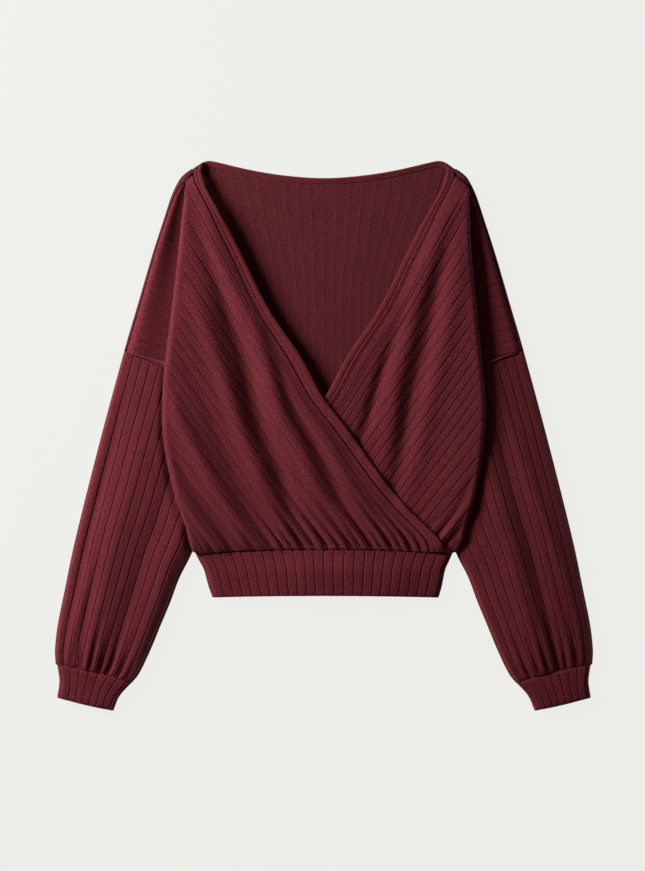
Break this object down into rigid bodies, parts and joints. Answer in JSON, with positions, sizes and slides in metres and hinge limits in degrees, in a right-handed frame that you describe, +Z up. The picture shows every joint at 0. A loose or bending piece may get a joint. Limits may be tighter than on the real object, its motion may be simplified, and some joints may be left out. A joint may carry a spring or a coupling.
{
  "type": "wrap top",
  "caption": "Cropped wrap top of wide-rib jersey with drop shoulders, full sleeves, ribbed cuffs and waistband, laid flat.",
  "frame": {"origin": "middle of the outline on the surface that the top lies on", "axes": "+X towards the wearer's left, +Y from hem to neck, +Z up from the surface"},
  "size_m": [0.6708, 0.6879, 0.0261],
  "materials": {
    "rib_jersey": "burgundy wide-rib jersey, matt with a soft sheen",
    "jersey_inside": "wrong side of the same jersey, fine and matt, with thin raised lines",
    "neckband": "doubled burgundy jersey binding with a stitched row"
  },
  "bodies": {
    "root": {"back": "jersey_inside", "front_right": "rib_jersey", "front_left": "rib_jersey", "neckband_right": "neckband", "neckband_left": "neckband", "neckband_back": "neckband", "sleeve_right": "rib_jersey", "sleeve_left": "rib_jersey", "cuff_right": "rib_jersey", "cuff_left": "rib_jersey", "waistband": "rib_jersey"}
  },
  "joints": []
}
